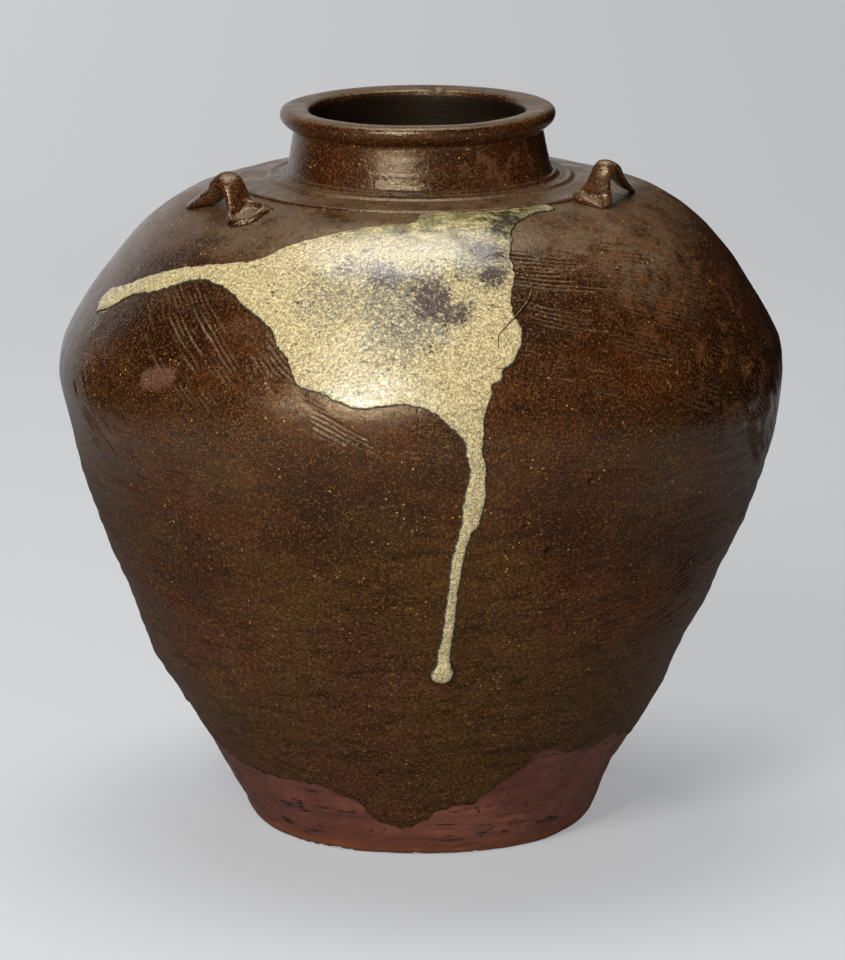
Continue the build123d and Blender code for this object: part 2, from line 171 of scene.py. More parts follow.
def smooth_curve(points, step):
    """Points a step apart along a smooth curve through the given ones."""
    p = np.array(points, float)
    t = np.concatenate([[0], np.cumsum(np.hypot(*np.diff(p[:, :2], axis=0).T))])
    slope = np.gradient(p, t, axis=0)
    u = np.linspace(0, t[-1], int(t[-1] / step) + 2)
    k = np.clip(np.searchsorted(t, u, "right") - 1, 0, len(t) - 2)
    h = (t[k + 1] - t[k])[:, None]
    x = ((u - t[k]) / h[:, 0])[:, None]
    return (
        (2 * x**3 - 3 * x**2 + 1) * p[k]
        + (x**3 - 2 * x**2 + x) * h * slope[k]
        + (3 * x**2 - 2 * x**3) * p[k + 1]
        + (x**3 - x**2) * h * slope[k + 1]
    )


def smooth(low, high, value):
    """0 below low, 1 above high, and a soft step between."""
    x = np.clip((value - low) / (high - low), 0, 1)
    return x * x * (3 - 2 * x)


def lattice(ix, iy, iz, seed):
    """A steady random value from -1 to 1 for each cell of a lattice."""
    h = (ix * STIR_X + iy * STIR_Y + iz * STIR_Z + seed * STIR_SEED) & WORD
    h = ((h ^ (h >> 13)) * STIR_SEED) & WORD
    h = ((h ^ (h >> 16)) * STIR_AGAIN) & WORD
    return ((h ^ (h >> 15)) & HALF_WORD) / (HALF_WORD / 2) - 1


def noise(p, scale, seed):
    """Soft noise from -1 to 1 at points, with lumps about a scale across."""
    q = p / scale
    cell = np.floor(q).astype(np.int64)
    f = q - cell
    f = f * f * (3 - 2 * f)
    total = 0
    for dx in (0, 1):
        for dy in (0, 1):
            for dz in (0, 1):
                weight = (
                    (f[:, 0] if dx else 1 - f[:, 0])
                    * (f[:, 1] if dy else 1 - f[:, 1])
                    * (f[:, 2] if dz else 1 - f[:, 2])
                )
                total = total + weight * lattice(
                    cell[:, 0] + dx, cell[:, 1] + dy, cell[:, 2] + dz, seed
                )
    return total


def lumps(p, layers):
    """Several layers of noise on top of each other."""
    return sum(high * noise(p, size, seed) for high, size, seed in layers)


body_line = smooth_curve(BODY_OUTLINE, 0.25)
body_run = np.concatenate([[0], np.cumsum(np.hypot(*np.diff(body_line, axis=0).T))])
body_slope = np.gradient(body_line, body_run, axis=0)
body_slope /= np.hypot(*body_slope.T)[:, None]
RUN_END = body_run[-1]
lean_heights, lean_sizes = np.array(BODY_LEAN).T


def run_at(height):
    """How far along the body's outline a height is reached."""
    return np.interp(height, body_line[:, 1], body_run)


def on_outline(run):
    """Radius, height and outward normal of the body's outline, at a run along it."""
    r = np.interp(run, body_run, body_line[:, 0])
    z = np.interp(run, body_run, body_line[:, 1])
    out = np.interp(run, body_run, body_slope[:, 1])
    up = -np.interp(run, body_run, body_slope[:, 0])
    return r, z, out, up


def radius_at(height):
    """Radius of the body's outline at a height."""
    return float(np.interp(run_at(height), body_run, body_line[:, 0]))


def turned(r, z, angle):
    """Points in space from radius, height and angle from the front, with the body's lean."""
    a = np.radians(angle)
    lean = np.interp(z, lean_heights, lean_sizes)
    return np.stack([r * np.sin(a) - lean, -r * np.cos(a), z], axis=1)


def comb_marks(angle, run):
    """Depth of the potter's comb strokes."""
    depth = np.zeros_like(run)
    for middle, height, half_long, half_wide, tilt, spacing, deep, seed in COMBED:
        away = (angle - middle + 180) % 360 - 180
        around, up = np.radians(away) * radius_at(height), run - run_at(height)
        near = (np.abs(around) < 1.5 * half_long) & (np.abs(up) < 1.5 * half_long)
        if not near.any():
            continue
        around, up = around[near], up[near]
        c, s = math.cos(math.radians(tilt)), math.sin(math.radians(tilt))
        along, across = around * c + up * s, up * c - around * s
        flat = np.stack([along, across, np.full_like(around, 7.0 * seed)], axis=1)
        warp = across
        for wander, size, offset in COMB_WANDER:
            warp = warp + wander * noise(flat, size, seed + offset)
        stroke = np.floor(warp / spacing).astype(np.int64)
        longer = COMB_LONGER * np.abs(lattice(stroke, stroke * 3, seed, 9))
        length = half_long * (COMB_SHORTEST + longer)
        shift = half_long * COMB_SHIFT * lattice(stroke, seed, 5, 3)
        cut = (0.5 + 0.5 * np.cos(2 * np.pi * (warp / spacing - 0.5))) ** 1.5
        ends = smooth(0, COMB_END, length - np.abs(along - shift))
        edge = smooth(0, COMB_SIDE, half_wide - np.abs(across))
        patchy = smooth(-0.7, 0.0, noise(flat * [0.5, 1, 1], 7, seed + 90))
        depth[near] = np.maximum(depth[near], deep * cut * ends * edge * patchy)
    return depth


def body_relief(angle, run):
    """How far the glazed surface stands out from its smooth outline."""
    r, z, _, _ = on_outline(run)
    p = turned(r, z, angle)
    low = smooth(SMOOTH_FROM, ROUGH_UP_TO, z)
    relief = lumps(p, BODY_LUMPS)
    wander = np.stack([0 * z, 0 * z, MARK_WANDER * noise(p, 40, 8)], axis=1)
    marked = p * MARK_STRETCH + wander
    relief += sum((high + more * low) * noise(marked, size, seed)
                  for high, more, size, seed in MARKS)

    # Broad waves and ridges low down, a fine orange peel all over, the comb strokes and the pits
    relief += 0.5 * low * noise(p * [0.3, 0.3, 1], 15, 6)
    relief += 0.35 * low * np.maximum(0, noise(p * [0.22, 0.22, 1], 6.5, 9))
    relief -= 0.05 * np.abs(noise(p, 3.0, 7))
    relief -= COMB_DEPTH * comb_marks(angle, run)
    for pit_angle, pit_height, ring in PITS:
        around = np.radians(angle - pit_angle) * radius_at(pit_height)
        away = np.hypot(around, run - run_at(pit_height))
        relief += (
            RING_HEIGHT * np.exp(-(((away - ring) / RING_WIDTH) ** 2))
            - PIT_DEPTH * np.exp(-((away / PIT_WIDTH) ** 2))
        )
    calm_at_collar = smooth(0, 14, RUN_END - run)
    return relief * calm_at_collar


def on_body(angle, run, lift):
    """Points on the displaced body, a lift above it."""
    r, z, out, up = on_outline(run)
    height = body_relief(angle, run) + lift
    return turned(r + out * height, z + up * height, angle)


hem_line = smooth_curve(np.array(HEM + [(HEM[0][0] + 360, HEM[0][1])]), 0.5)
hem_line = hem_line[np.argsort(hem_line[:, 0])]


def hem_run(angle):
    """Where the brown glaze ends, as a run along the outline."""
    a = (np.asarray(angle, float) - HEM[0][0]) % 360 + HEM[0][0]
    height = np.interp(a, hem_line[:, 0], hem_line[:, 1])
    flat = np.stack([np.radians(a) * HEM_DRUM, np.zeros_like(a), np.zeros_like(a)], axis=1)
    return run_at(height + lumps(flat, HEM_WOBBLE))


def finished(name, bm, material):
    """A mesh object from a bmesh, riding on the jar."""
    for face in bm.faces:
        face.smooth = True
    mesh = bpy.data.meshes.new(name)
    bm.to_mesh(mesh)
    bm.free()
    piece = bpy.data.objects.new(name, mesh)
    bpy.context.scene.collection.objects.link(piece)
    mesh.materials.append(material)
    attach(piece, "root")
    return piece


def sheet(columns, rows):
    """A flat bmesh sheet, with the column and the row of each of its vertices."""
    bm = bmesh.new()
    bmesh.ops.create_grid(bm, x_segments=columns, y_segments=rows, size=0.5)
    p = points_of(bm)
    column = np.round((p[:, 0] + 0.5) * columns).astype(int)
    row = np.round((p[:, 1] + 0.5) * rows).astype(int)
    return bm, column, row


def closed_up(bm, points, row, sharp_rows=()):
    """Moves a sheet's vertices to points in millimetres and merges the edges that meet."""
    for v, p in zip(bm.verts, points * METRE):
        v.co = p
    bm.verts.index_update()
    for edge in bm.edges if sharp_rows else ():
        a, b = edge.verts
        if row[a.index] == row[b.index] and row[a.index] in sharp_rows:
            edge.smooth = False
    bmesh.ops.remove_doubles(bm, verts=bm.verts[:], dist=2e-6)
    bmesh.ops.recalc_face_normals(bm, faces=bm.faces[:])


def points_of(bm):
    """The vertices of a bmesh as an array."""
    return np.array([v.co[:] for v in bm.verts])


def fine_in_front(angle):
    """Angles from even ones, drawn up to 14 degrees closer together at the jar's front."""
    return angle - 14 * np.sin(np.radians(angle))


def glaze_band(name, low, high, rows, steps, material):
    """A band of brown glaze between two runs, each a number or a function of the angle."""
    inner = 8  # rows of the side that lies inside the clay
    count = rows + inner
    bm, column, row = sheet(steps, count)
    number = row % count
    angle = fine_in_front(column % steps * 360 / steps)
    start = low(angle) if callable(low) else np.full(len(angle), float(low))
    end = high(angle) if callable(high) else np.full(len(angle), float(high))
    front = number < rows
    share = np.where(front, number / (rows - 1), 1 - (number - rows + 0.5) / inner)
    run = start + (end - start) * share
    lift = np.where(front, 0.0, -BODY_SKIN)
    if callable(low):
        dive = (GLAZE_EDGE + 0.5) * np.exp(-(((run - start) / 2.0) ** 2))
        lift = lift - np.where(front, dive, 0.6)
    closed_up(bm, on_body(angle, run, lift), number, {0, rows - 1})
    return finished(name, bm, material)


class Finish:
    """A material that is put together node by node."""

    def __init__(self, name):
        self.material = bpy.data.materials.new(name)
        self.material.use_nodes = True
        self.tree = self.material.node_tree
        self.tree.nodes.clear()
        self.output = self.tree.nodes.new("ShaderNodeOutputMaterial")
        self.surface = self.tree.nodes.new("ShaderNodeBsdfPrincipled")
        self.tree.links.new(self.surface.outputs[0], self.output.inputs[0])
        self.place = self.tree.nodes.new("ShaderNodeTexCoord").outputs["Object"]

    def put(self, socket, value):
        """Sets a socket's value or links another socket to it."""
        if isinstance(value, bpy.types.NodeSocket):
            self.tree.links.new(value, socket)
        elif value is not None:
            socket.default_value = value

    def math(self, kind, a, b=None, c=None):
        node = self.tree.nodes.new("ShaderNodeMath")
        node.operation = kind
        for socket, value in zip(node.inputs, (a, b, c)):
            self.put(socket, value)
        return node.outputs[0]

    def times(self, a, b):
        return self.math("MULTIPLY", a, b)

    def larger(self, a, b):
        return self.math("MAXIMUM", a, b)

    def add_share(self, a, share, b):
        """A share of one value on top of another."""
        return self.math("MULTIPLY_ADD", a, share, b)

    def stretched(self, scale, turn=(0, 0, 0)):
        """Object coordinates, scaled and turned for a pattern that is drawn out."""
        node = self.tree.nodes.new("ShaderNodeMapping")
        self.put(node.inputs["Vector"], self.place)
        node.inputs["Scale"].default_value = scale
        node.inputs["Rotation"].default_value = turn
        return node.outputs[0]

    def noise(self, scale, detail=2.0, rough=0.5, where=None):
        node = self.tree.nodes.new("ShaderNodeTexNoise")
        self.put(node.inputs["Vector"], where or self.place)
        node.inputs["Scale"].default_value = scale
        node.inputs["Detail"].default_value = detail
        node.inputs["Roughness"].default_value = rough
        return node.outputs[0]

    def cells(self, scale):
        """Distance to the middle of the nearest of many small cells."""
        node = self.tree.nodes.new("ShaderNodeTexVoronoi")
        self.put(node.inputs["Vector"], self.place)
        node.inputs["Scale"].default_value = scale
        return node.outputs["Distance"]

    def step(self, value, low, high, out_low=0.0, out_high=1.0):
        """A soft step between two values."""
        node = self.tree.nodes.new("ShaderNodeMapRange")
        node.interpolation_type = "SMOOTHSTEP"
        self.put(node.inputs["Value"], value)
        ends = {"From Min": low, "From Max": high, "To Min": out_low, "To Max": out_high}
        for key, number in ends.items():
            node.inputs[key].default_value = number
        return node.outputs[0]

    def colour_in(self, socket, colour):
        """Puts a colour, written as three numbers or taken from a node, into a socket."""
        self.put(socket, colour if isinstance(colour, bpy.types.NodeSocket) else (*colour, 1))

    def blend(self, amount, a, b):
        """From colour a to colour b by an amount."""
        node = self.tree.nodes.new("ShaderNodeMix")
        node.data_type = "RGBA"
        self.put(node.inputs[0], amount)
        self.colour_in(node.inputs[6], a)
        self.colour_in(node.inputs[7], b)
        return node.outputs[2]

    def part(self, axis):
        """One of the object coordinates."""
        node = self.tree.nodes.new("ShaderNodeSeparateXYZ")
        self.put(node.inputs[0], self.place)
        return node.outputs[axis]

    def upward(self):
        """How far the surface faces up."""
        node = self.tree.nodes.new("ShaderNodeNewGeometry")
        split = self.tree.nodes.new("ShaderNodeSeparateXYZ")
        self.put(split.inputs[0], node.outputs["True Normal"])
        return split.outputs[2]

    def reach(self):
        """Distance from the jar's axis."""
        squares = [self.math("POWER", self.part(axis), 2) for axis in (0, 1)]
        return self.math("SQRT", self.math("ADD", *squares))

    def spot(self, angle, height, reach, soft):
        """1 inside a reach of a place on the body, and 0 outside it, with a soft, noisy edge."""
        r, z, _, _ = on_outline(run_at(height))
        centre = turned(np.array([r]), np.array([z]), np.array([angle]))[0] * METRE
        node = self.tree.nodes.new("ShaderNodeVectorMath")
        node.operation = "DISTANCE"
        self.put(node.inputs[0], self.place)
        node.inputs[1].default_value = centre
        rough = self.add_share(self.noise(70, 3), soft * METRE * 2, -soft * METRE)
        far = self.math("ADD", node.outputs["Value"], rough)
        return self.step(far, (reach + soft) * METRE, (reach - soft) * METRE)

    def spots(self, places):
        """The strongest of some spots: angle, height, reach, softness and strength of each."""
        found = None
        for *place, strength in places:
            one = self.spot(*place)
            if strength < 1:
                one = self.times(one, strength)
            found = one if found is None else self.larger(found, one)
        return found

    def bumps(self, height, depth, under=None):
        """Fine bumps of a depth in millimetres, on top of others."""
        node = self.tree.nodes.new("ShaderNodeBump")
        node.inputs["Strength"].default_value = 1.0
        node.inputs["Distance"].default_value = depth * METRE
        self.put(node.inputs["Height"], height)
        if under is not None:
            self.put(node.inputs["Normal"], under)
        return node.outputs[0]

    def finish(self, colour, rough, normal=None, specular=0.5, tint=(1, 1, 1)):
        """Puts everything into the surface and gives the material."""
        inputs = self.surface.inputs
        self.colour_in(inputs["Base Color"], colour)
        self.put(inputs["Roughness"], rough)
        self.put(inputs["Specular IOR Level"], specular)
        inputs["Specular Tint"].default_value = (*tint, 1)
        if normal is not None:
            self.put(inputs["Normal"], normal)
        return self.material


# Places in the brown glaze, as spots
# The right of the shoulder top, where the dust and the painted sheen are strongest
DUST_AND_SHEEN_RIGHT = [(50, 322, 34, 24, 1)]
# A patch of painted light on the right of the shoulder top
PAINTED_LIGHT_RIGHT = [(50, 315, 34, 20, 1)]
# A patch of painted shade on the right of the belly
PAINTED_SHADE_RIGHT = [(70, 236, 64, 34, 1)]
RUSTY_RIGHT = [(52, 300, 44, 22, 1), (62, 262, 44, 20, 1)]
MATT_PATCH = [(-45.6, 256.9, 6.4, 2.0, 1), (-43.6, 258.6, 5.6, 2.0, 1), (-47.4, 255.6, 5.6, 2.0, 1)]
SMOKY_DROP = [(-70.0, 265.2, 3.2, 1.4, 1), (-69.5, 270.6, 4.6, 1.6, 1), (-69.4, 276.4, 3.8, 1.6, 1)]

# Colours of the brown glaze
DARK_RED, WARM_RED = (0.022, 0.0048, 0.0010), (0.070, 0.0175, 0.0036)
LOW_BROWN, OLIVE, STREAK = (0.088, 0.036, 0.018), (0.072, 0.036, 0.010), (0.095, 0.036, 0.010)
# The dust colour is partly dust and partly a painted sheen, and the tan is painted light
DUST_AND_SHEEN_COLOUR, SCRATCH, PAINTED_LIGHT_TAN = (0.120, 0.072, 0.036), (0.020, 0.0075, 0.0028), (0.205, 0.132, 0.076)
# The deep brown is painted shade
PAINTED_SHADE_BROWN, RUST = (0.024, 0.0058, 0.0015), (0.165, 0.060, 0.022)
MATT_RED, COLLAR_RED = (0.105, 0.034, 0.024), (0.150, 0.056, 0.028)
DARK_GRAIN, BRIGHT_GRAIN = (0.007, 0.0022, 0.0009), (0.250, 0.104, 0.030)
GLINT, STRAW_SPECK = (0.55, 0.33, 0.11), (0.55, 0.32, 0.09)
# The mouth's near black is painted shade
PIT_BLACK, MOUTH_PAINTED_SHADE = (0.012, 0.007, 0.005), (0.0035, 0.0018, 0.0012)
SMOKE, SMOKE_SPECK = (0.004, 0.005, 0.003), (0.230, 0.215, 0.120)
GLAZE_TINT = (1.0, 0.80, 0.50)


def iron_glaze_finish():
    """Dark red-brown glaze, grainy and glinting, mottled rust and olive, with straw specks."""
    f = Finish("iron glaze")
    height = f.part(2)
    colour = f.blend(f.step(f.noise(16, 4, 0.6), 0.36, 0.64), DARK_RED, WARM_RED)
    low = f.step(height, 0.285, 0.17)
    colour = f.blend(f.step(height, 0.22, 0.08, 0.0, 0.7), colour, LOW_BROWN)
    olive = f.times(f.step(f.noise(10, 4, 0.55), 0.42, 0.58), low)
    colour = f.blend(f.times(olive, 0.70), colour, OLIVE)
    streaks = f.noise(75, 5, 0.65, f.stretched((0.22, 0.22, 1.0)))
    colour = f.blend(f.step(streaks, 0.54, 0.74, 0, 0.5), colour, STREAK)

    # The top of the shoulder is dusty and scratched, and lighter where it faces up, partly with a
    # painted sheen, most of all on the right
    facing_up_dust_and_sheen = f.add_share(f.noise(26, 5, 0.7), 0.5, f.upward())
    facing_up_dust_and_sheen = f.add_share(f.spots(DUST_AND_SHEEN_RIGHT), 0.16, facing_up_dust_and_sheen)
    dust_and_sheen = f.times(f.step(facing_up_dust_and_sheen, 0.86, 1.14), f.step(f.noise(60, 5, 0.7), 0.30, 0.58, 0.3, 1.0))
    colour = f.blend(f.times(dust_and_sheen, 0.80), colour, DUST_AND_SHEEN_COLOUR)
    scratched = f.noise(150, 5, 0.72, f.stretched((0.30, 0.30, 1.2), (0.25, 0.1, 0)))
    colour = f.blend(f.step(scratched, 0.50, 0.38, 0, 0.60), colour, SCRATCH)

    # Patches on the right, one of painted light and one of painted shade among them, the matt patch
    # on the left and the red one on the collar
    # Painted light: a pale tan patch on the right of the shoulder top
    painted_light_patch = f.times(f.spots(PAINTED_LIGHT_RIGHT), f.step(f.noise(85, 6, 0.75), 0.38, 0.62))
    colour = f.blend(f.times(painted_light_patch, 0.62), colour, PAINTED_LIGHT_TAN)
    # Painted shade: a darker brown patch on the right of the belly, where the side turns from the
    # light
    deep = f.times(f.spots(PAINTED_SHADE_RIGHT), f.step(f.noise(34, 5, 0.65), 0.30, 0.55, 0.45, 1.0))
    colour = f.blend(f.times(deep, 0.62), colour, PAINTED_SHADE_BROWN)
    rust = f.times(f.spots(RUSTY_RIGHT), f.step(f.noise(75, 6, 0.72), 0.50, 0.60))
    colour = f.blend(f.times(rust, 0.75), colour, RUST)
    matt = f.spots(MATT_PATCH)
    colour = f.blend(f.times(matt, 0.85), colour, MATT_RED)
    collar = f.times(f.step(height, 0.338, 0.343), f.step(height, 0.362, 0.358))
    collar = f.times(collar, f.step(f.part(0), 0.012, 0.026))
    collar = f.times(collar, f.step(f.noise(64, 3, 0.6), 0.53, 0.57))
    colour = f.blend(f.times(collar, 0.75), colour, COLLAR_RED)

    # Grain, glints and straw specks, which get rarer towards the foot
    grain = f.noise(760, 4, 0.8)
    colour = f.blend(f.step(grain, 0.50, 0.36, 0, 0.9), colour, DARK_GRAIN)
    colour = f.blend(f.step(grain, 0.54, 0.66, 0, 0.85), colour, BRIGHT_GRAIN)
    sparse = f.step(height, 0.04, 0.20, 0.45, 0.85)
    glints = f.add_share(f.noise(45, 3), 0.16, f.noise(1250, 3, 0.85))
    colour = f.blend(f.times(f.step(glints, 0.715, 0.765), sparse), colour, GLINT)
    straw = f.times(f.step(f.cells(240), 0.16, 0.08), f.step(f.noise(70, 2), 0.50, 0.58))
    colour = f.blend(f.times(straw, sparse), colour, STRAW_SPECK)

    # Pits, the smoky drop under the pour's left arm, and painted shade that makes the inside of the
    # mouth nearly black
    for pit_angle, pit_height, ring in PITS:
        pit = f.spot(pit_angle, pit_height, ring - 1.0, 0.7)
        colour = f.blend(f.times(pit, 0.8), colour, PIT_BLACK)
    smoke = f.blend(f.step(f.noise(420, 4, 0.75), 0.48, 0.60), SMOKE, SMOKE_SPECK)
    colour = f.blend(f.times(f.spots(SMOKY_DROP), 0.95), colour, smoke)
    inside = f.times(f.step(f.reach(), 0.0585, 0.0555), f.step(height, 0.3705, 0.367))
    colour = f.blend(f.times(inside, 0.94), colour, MOUTH_PAINTED_SHADE)

    # Glossy on top, duller below, and dull where it is matt or dusty
    rough = f.step(f.noise(110, 4, 0.65), 0.32, 0.68, 0.09, 0.22)
    rough = f.larger(rough, f.step(height, 0.28, 0.17, 0.0, 0.55))
    for dull, roughness in ((matt, 0.75), (dust_and_sheen, 0.38), (inside, 0.60)):
        rough = f.larger(rough, f.times(dull, roughness))
    skin = f.bumps(f.noise(1100, 3, 0.75), 0.10)
    skin = f.bumps(grain, 0.14, skin)
    skin = f.bumps(f.noise(300, 4, 0.65), 0.28, skin)
    skin = f.bumps(f.noise(300, 3, 0.6, f.stretched((0.12, 0.12, 1.0))), 0.26, skin)
    shine = f.times(f.step(height, 0.16, 0.29, 0.10, 0.85), f.step(inside, 0.0, 1.0, 1.0, 0.3))
    return f.finish(colour, rough, skin, specular=shine, tint=GLAZE_TINT)


# Places in the ash pour, as spots
GREY_CLOUDS = [
    (-3, 300, 30, 16, 1), (12, 316, 20, 12, 1), (-16, 303, 24, 14, 0.8), (-4, 282, 18, 12, 0.7),
]
PURPLE_CLOUDS = [
    (1.5, 301, 12, 6, 1), (5.5, 294, 9, 5, 1), (13, 319, 9, 5, 1), (13.5, 309, 8, 5, 1),
    (-7.5, 310, 10, 6, 0.8), (-15, 313, 6, 4, 0.7), (20, 327, 9, 6, 0.8),
]
BROWN_TOP = [(24, 330, 16, 12, 1)]

# Colours of the ash pour
ASH_DEEP, ASH_PALE = (0.46, 0.335, 0.140), (0.84, 0.69, 0.36)
ASH_GRAIN, ASH_GREY, ASH_PURPLE = (0.12, 0.125, 0.105), (0.120, 0.125, 0.118), (0.062, 0.040, 0.036)
ASH_GREEN, ASH_BROWN = (0.135, 0.125, 0.048), (0.030, 0.022, 0.013)
ASH_PIT, ASH_RIM = (0.050, 0.055, 0.052), (0.016, 0.015, 0.012)


def ash_glaze_finish():
    """Straw ash glaze, grainy, with blue-grey and purple-brown clouds and a dark edge."""
    f = Finish("ash glaze")
    edge = f.tree.nodes.new("ShaderNodeAttribute")
    edge.attribute_name = "from_edge"
    grain = f.noise(700, 4, 0.75)
    colour = f.blend(f.step(grain, 0.42, 0.58), ASH_DEEP, ASH_PALE)
    colour = f.blend(f.step(f.noise(1300, 3, 0.75), 0.515, 0.60, 0, 0.92), colour, ASH_GRAIN)
    thin = f.step(f.noise(60, 4, 0.7), 0.45, 0.70, 0.08, 0.42)
    grey = f.add_share(f.larger(f.spots(GREY_CLOUDS), thin), 0.145, f.noise(620, 5, 0.85))
    colour = f.blend(f.step(grey, 0.60, 0.67, 0, 0.88), colour, ASH_GREY)
    purple = f.add_share(f.spots(PURPLE_CLOUDS), 0.215, f.noise(520, 5, 0.85))
    colour = f.blend(f.step(purple, 0.62, 0.69, 0, 0.92), colour, ASH_PURPLE)
    green = f.times(f.step(f.part(2), 0.318, 0.330), f.step(f.noise(120, 5, 0.75), 0.38, 0.56))
    colour = f.blend(f.times(green, 0.85), colour, ASH_GREEN)
    mottled = f.noise(260, 5, 0.8, f.stretched((0.5, 0.5, 1.5)))
    brown = f.add_share(f.spots(BROWN_TOP), 0.16, mottled)
    colour = f.blend(f.step(brown, 0.58, 0.66, 0, 0.9), colour, ASH_BROWN)
    pits = f.times(f.step(f.cells(300), 0.26, 0.14), f.step(f.noise(90, 3), 0.50, 0.60))
    colour = f.blend(f.times(pits, 0.85), colour, ASH_PIT)
    from_edge = f.add_share(f.noise(500, 4, 0.7), 2.0, edge.outputs["Fac"])
    rim = f.step(from_edge, 1.7, 2.5, 1.0, 0.0)
    colour = f.blend(f.times(rim, 0.95), colour, ASH_RIM)
    rough = f.step(f.noise(300, 3), 0.35, 0.65, 0.10, 0.28)
    skin = f.bumps(grain, 0.13)
    skin = f.bumps(f.noise(240, 3), 0.25, skin)
    return f.finish(colour, rough, skin, specular=0.65)


# Colours of the clay
CLAY_DARK, CLAY_RED = (0.135, 0.038, 0.022), (0.215, 0.068, 0.038)
CLAY_STREAK, CLAY_CRACK = (0.045, 0.016, 0.011), (0.010, 0.005, 0.004)
CLAY_ORANGE, CLAY_HOLE = (0.24, 0.070, 0.020), (0.024, 0.011, 0.009)
# The inside colour of the clay is painted shade
CLAY_GRAIN, CLAY_INSIDE_PAINTED_SHADE = (0.050, 0.018, 0.012), (0.016, 0.007, 0.004)


def clay_finish():
    """Brick red clay with dark streaks and pits on the foot, and painted shade that makes it nearly
    black inside the jar.
    """
    f = Finish("fired clay")
    height = f.part(2)
    colour = f.blend(f.step(f.noise(30, 4, 0.6), 0.38, 0.64), CLAY_DARK, CLAY_RED)
    streaks = f.noise(85, 6, 0.72, f.stretched((0.16, 0.16, 1.0)))
    colour = f.blend(f.step(streaks, 0.55, 0.66, 0, 0.5), colour, CLAY_STREAK)
    cracks = f.noise(150, 5, 0.75, f.stretched((0.18, 0.18, 1.0)))
    colour = f.blend(f.step(cracks, 0.60, 0.635, 0, 0.95), colour, CLAY_CRACK)
    colour = f.blend(f.step(height, 0.012, 0.002, 0, 0.7), colour, CLAY_ORANGE)
    holes = f.times(f.step(f.cells(230), 0.26, 0.12), f.step(f.noise(60, 2), 0.48, 0.60))
    colour = f.blend(f.times(holes, 0.85), colour, CLAY_HOLE)
    colour = f.blend(f.step(f.noise(700, 3, 0.7), 0.56, 0.70, 0, 0.5), colour, CLAY_GRAIN)
    # Painted shade: the clay inside the jar is made nearly black
    colour = f.blend(f.step(height, 0.080, 0.095), colour, CLAY_INSIDE_PAINTED_SHADE)
    rough = f.step(f.noise(150, 3), 0.35, 0.65, 0.50, 0.72)
    skin = f.bumps(f.noise(700, 4, 0.7), 0.14)
    skin = f.bumps(f.noise(120, 5, 0.65, f.stretched((0.3, 0.3, 1.0))), 0.6, skin)
    return f.finish(colour, rough, skin, specular=0.35)


iron_glaze = iron_glaze_finish()
ash_glaze = ash_glaze_finish()
fired_clay = clay_finish()


def clay_body():
    """The clay of the base and the wall, bare at the foot, closed over the hollow inside."""
    base, outer, inner, steps = 6, 190, 60, 320
    count = base + outer + inner
    bm, column, row = sheet(steps, count)
    angle = column % steps * 360 / steps
    up_wall = np.clip((row - base) / (outer - 1), 0, 1)
    down_inside = np.clip((row - base - outer) / (inner - 1), 0, 1)
    inside = row >= base + outer
    run = RUN_END * np.where(inside, 1 - down_inside, up_wall**1.6)
    r, z, out, up = on_outline(run)

    # Drawn-out roughness, torn streaks and small holes of the bare clay
    p = turned(r, z, angle)
    rough = 0.25 * noise(p * [0.3, 0.3, 1], 6, 31) + 0.12 * noise(p, 2.5, 32)
    torn = noise(p * [0.14, 0.14, 1], 3.4, 33) + 0.5 * noise(p, 3, 34)
    holes = smooth(0.72, 0.9, noise(p, 3.6, 35))
    rough = rough - 1.1 * smooth(0.62, 0.95, torn) - 0.8 * holes
    bare = body_relief(angle, run) + rough - GLAZE_EDGE - 0.6 * smooth(75, 90, z)
    lift = np.where(inside, -WALL, bare)
    foot_edge = 1.5
    r = r + out * lift - np.where(inside, 0, foot_edge * np.exp(-run / 1.2))
    z = np.maximum(z + up * lift, np.where(inside, BASE, 0))

    # The underside is flat, and both ends close in a point on the axis
    under = row < base
    r = np.where(under, (BODY_OUTLINE[0][0] - GLAZE_EDGE - foot_edge) * row / base, r)
    z = np.where(under, 0, z)
    r = np.where(row == count, 0, r)
    closed_up(bm, turned(r, z, angle) * np.where((r == 0)[:, None], [0, 0, 1], 1), row)
    piece = finished("clay_body", bm, fired_clay)
    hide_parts("bare_foot", "lower_wall", "belly_wall", "shoulder")


clay_body()

# The brown glaze from its hem to the collar, in bands that meet at these heights
BAND_NAMES = ["foot_side_glaze", "lower_glaze", "middle_glaze", "belly_glaze", "shoulder_glaze"]
BAND_HEIGHTS = (112, 174, 236, 283)
BAND_ROWS, BAND_STEPS = 112, 820
band_ends = [hem_run, *[float(run_at(height)) for height in BAND_HEIGHTS], RUN_END]
for name, low, high in zip(BAND_NAMES, band_ends, band_ends[1:]):
    glaze_band(name, low, high, BAND_ROWS, BAND_STEPS, iron_glaze)

